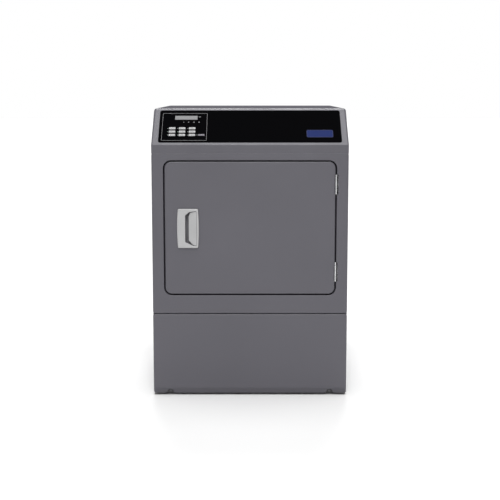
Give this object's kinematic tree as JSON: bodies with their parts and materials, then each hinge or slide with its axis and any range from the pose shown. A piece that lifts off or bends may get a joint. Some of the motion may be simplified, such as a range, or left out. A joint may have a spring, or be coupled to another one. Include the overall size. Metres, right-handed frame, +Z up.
{
  "type": "clothes dryer",
  "caption": "Front-loading vented clothes dryer with a sloping keypad console, a solid hinged door, a lift-out lint filter, a belt-driven drum and levelling legs.",
  "frame": {"origin": "centre of the whole object's footprint, at floor level", "axes": "+Z up, the front with the door and the console faces -Y, +X to the viewer's right"},
  "size_m": [0.683, 0.754, 1.012],
  "materials": {
    "cabinet_paint": "satin dark grey powder coat",
    "galvanised_steel": "galvanised sheet",
    "drum_steel": "brushed stainless sheet",
    "liner_paint": "light grey enamel",
    "bright_fittings": "bright zinc plate",
    "fascia_gloss": "gloss black",
    "display": "grey liquid crystal window",
    "circuit_board": "green board with parts",
    "badge_metal": "plain blue-grey anodised plate",
    "felt": "pressed felt",
    "motor_paint": "black enamel",
    "dark_plastic": "moulded dark plastic",
    "heater_wire": "sheathed heating rod",
    "pale_plastic": "moulded pale plastic",
    "belt_rubber": "black rubber",
    "pull_plastic": "satin light grey",
    "key_plastic": "light grey key",
    "start_key_plastic": "dark key",
    "foot_plastic": "black foot"
  },
  "bodies": {
    "cabinet": {"base_pan": "galvanised_steel", "left_side_panel": "cabinet_paint", "right_side_panel": "cabinet_paint", "rear_panel": "galvanised_steel", "top_panel": "cabinet_paint", "front_panel": "cabinet_paint", "lower_front_panel": "cabinet_paint", "panel_screws": "bright_fittings", "console_housing": "cabinet_paint", "console_fascia": "fascia_gloss", "display_window": "display", "control_board": "circuit_board", "badge_plate": "badge_metal", "front_bulkhead": "galvanised_steel", "rear_bulkhead": "galvanised_steel", "drum_seals": "felt", "motor_housing": "motor_paint", "blower_housing": "galvanised_steel", "lint_duct": "dark_plastic", "exhaust_duct": "galvanised_steel", "heater_box": "galvanised_steel", "heater_element": "heater_wire", "terminal_block": "pale_plastic", "cord_bushing": "dark_plastic", "door_catch": "dark_plastic", "door_switch": "dark_plastic", "cabinet_hinge_leaves": "bright_fittings", "hinge_pins": "bright_fittings", "drive_belt": "belt_rubber", "idler_spring": "bright_fittings"},
    "door": {"door_outer_panel": "cabinet_paint", "door_liner": "liner_paint", "door_seal": "belt_rubber", "door_pull": "pull_plastic", "door_strike": "bright_fittings", "door_hinge_leaves": "bright_fittings"},
    "drum": {"drum_shell": "drum_steel", "drum_baffles": "drum_steel"},
    "roller_left": {"roller_left": "belt_rubber"},
    "roller_right": {"roller_right": "belt_rubber"},
    "motor_rotor": {"motor_shaft": "bright_fittings", "blower_wheel": "dark_plastic"},
    "idler_arm": {"idler_arm": "galvanised_steel"},
    "idler_pulley": {"idler_pulley": "dark_plastic"},
    "lint_filter": {"lint_filter": "dark_plastic"},
    "switch_plunger": {"switch_plunger": "pale_plastic"},
    "key_1": {"key_1": "key_plastic"},
    "key_2": {"key_2": "key_plastic"},
    "key_3": {"key_3": "key_plastic"},
    "key_4": {"key_4": "key_plastic"},
    "key_5": {"key_5": "key_plastic"},
    "key_6": {"key_6": "key_plastic"},
    "key_7": {"key_7": "key_plastic"},
    "key_8": {"key_8": "key_plastic"},
    "key_9": {"key_9": "key_plastic"},
    "start_key": {"start_key": "start_key_plastic"},
    "leg_front_left": {"leg_front_left": "foot_plastic"},
    "leg_front_right": {"leg_front_right": "foot_plastic"},
    "leg_rear_left": {"leg_rear_left": "foot_plastic"},
    "leg_rear_right": {"leg_rear_right": "foot_plastic"}
  },
  "joints": [
    {"name": "door_hinge", "type": "hinge", "parent": "cabinet", "child": "door", "pos_m": [0.29825, -0.37, 0.5988], "axis": [0, 0, 1], "range_deg": [0, 170]},
    {"name": "drum_spin", "type": "hinge", "parent": "cabinet", "child": "drum", "pos_m": [0, -0.018, 0.5988], "axis": [0, 1, 0], "continuous": true},
    {"name": "filter_lift", "type": "slide", "parent": "cabinet", "child": "lint_filter", "axis": [0, 0, 1], "range_m": [0, 0.3]},
    {"name": "idler_arm_pivot", "type": "hinge", "parent": "cabinet", "child": "idler_arm", "pos_m": [0.215, -0.0315, 0.12], "axis": [0, 1, 0], "range_deg": [0, 10], "stiffness_Nm_per_rad": 12, "springref_deg": -11.46, "deforming": ["idler_spring"]},
    {"name": "idler_pulley_spin", "type": "hinge", "parent": "idler_arm", "child": "idler_pulley", "pos_m": [0.1777, -0.044, 0.2385], "axis": [0, 1, 0], "continuous": true},
    {"name": "motor_spin", "type": "hinge", "parent": "cabinet", "child": "motor_rotor", "pos_m": [0.11, -0.13, 0.15], "axis": [0, 1, 0], "continuous": true},
    {"name": "roller_left_spin", "type": "hinge", "parent": "cabinet", "child": "roller_left", "pos_m": [-0.21936, 0.248, 0.31803], "axis": [0, 1, 0], "continuous": true},
    {"name": "roller_right_spin", "type": "hinge", "parent": "cabinet", "child": "roller_right", "pos_m": [0.21936, 0.248, 0.31803], "axis": [0, 1, 0], "continuous": true},
    {"name": "switch_plunger_press", "type": "slide", "parent": "cabinet", "child": "switch_plunger", "axis": [0, 1, 0], "range_m": [0, 0.003], "stiffness_N_per_m": 400},
    {"name": "key_1_press", "type": "slide", "parent": "cabinet", "child": "key_1", "axis": [0, 0.7071, -0.7071], "range_m": [0, 0.0009], "stiffness_N_per_m": 1500},
    {"name": "key_2_press", "type": "slide", "parent": "cabinet", "child": "key_2", "axis": [0, 0.7071, -0.7071], "range_m": [0, 0.0009], "stiffness_N_per_m": 1500},
    {"name": "key_3_press", "type": "slide", "parent": "cabinet", "child": "key_3", "axis": [0, 0.7071, -0.7071], "range_m": [0, 0.0009], "stiffness_N_per_m": 1500},
    {"name": "key_4_press", "type": "slide", "parent": "cabinet", "child": "key_4", "axis": [0, 0.7071, -0.7071], "range_m": [0, 0.0009], "stiffness_N_per_m": 1500},
    {"name": "key_5_press", "type": "slide", "parent": "cabinet", "child": "key_5", "axis": [0, 0.7071, -0.7071], "range_m": [0, 0.0009], "stiffness_N_per_m": 1500},
    {"name": "key_6_press", "type": "slide", "parent": "cabinet", "child": "key_6", "axis": [0, 0.7071, -0.7071], "range_m": [0, 0.0009], "stiffness_N_per_m": 1500},
    {"name": "key_7_press", "type": "slide", "parent": "cabinet", "child": "key_7", "axis": [0, 0.7071, -0.7071], "range_m": [0, 0.0009], "stiffness_N_per_m": 1500},
    {"name": "key_8_press", "type": "slide", "parent": "cabinet", "child": "key_8", "axis": [0, 0.7071, -0.7071], "range_m": [0, 0.0009], "stiffness_N_per_m": 1500},
    {"name": "key_9_press", "type": "slide", "parent": "cabinet", "child": "key_9", "axis": [0, 0.7071, -0.7071], "range_m": [0, 0.0009], "stiffness_N_per_m": 1500},
    {"name": "start_key_press", "type": "slide", "parent": "cabinet", "child": "start_key", "axis": [0, 0.7071, -0.7071], "range_m": [0, 0.0009], "stiffness_N_per_m": 1500},
    {"name": "leg_front_left_adjust", "type": "slide", "parent": "cabinet", "child": "leg_front_left", "axis": [0, 0, -1], "range_m": [0, 0.02]},
    {"name": "leg_front_right_adjust", "type": "slide", "parent": "cabinet", "child": "leg_front_right", "axis": [0, 0, -1], "range_m": [0, 0.02]},
    {"name": "leg_rear_left_adjust", "type": "slide", "parent": "cabinet", "child": "leg_rear_left", "axis": [0, 0, -1], "range_m": [0, 0.02]},
    {"name": "leg_rear_right_adjust", "type": "slide", "parent": "cabinet", "child": "leg_rear_right", "axis": [0, 0, -1], "range_m": [0, 0.02]}
  ],
  "couplings": [
    {"joint": "motor_spin", "follows": "drum_spin", "ratio": 24.158},
    {"joint": "idler_pulley_spin", "follows": "drum_spin", "ratio": -10.265},
    {"joint": "roller_left_spin", "follows": "drum_spin", "ratio": -8.8889},
    {"joint": "roller_right_spin", "follows": "drum_spin", "ratio": -8.8889}
  ]
}
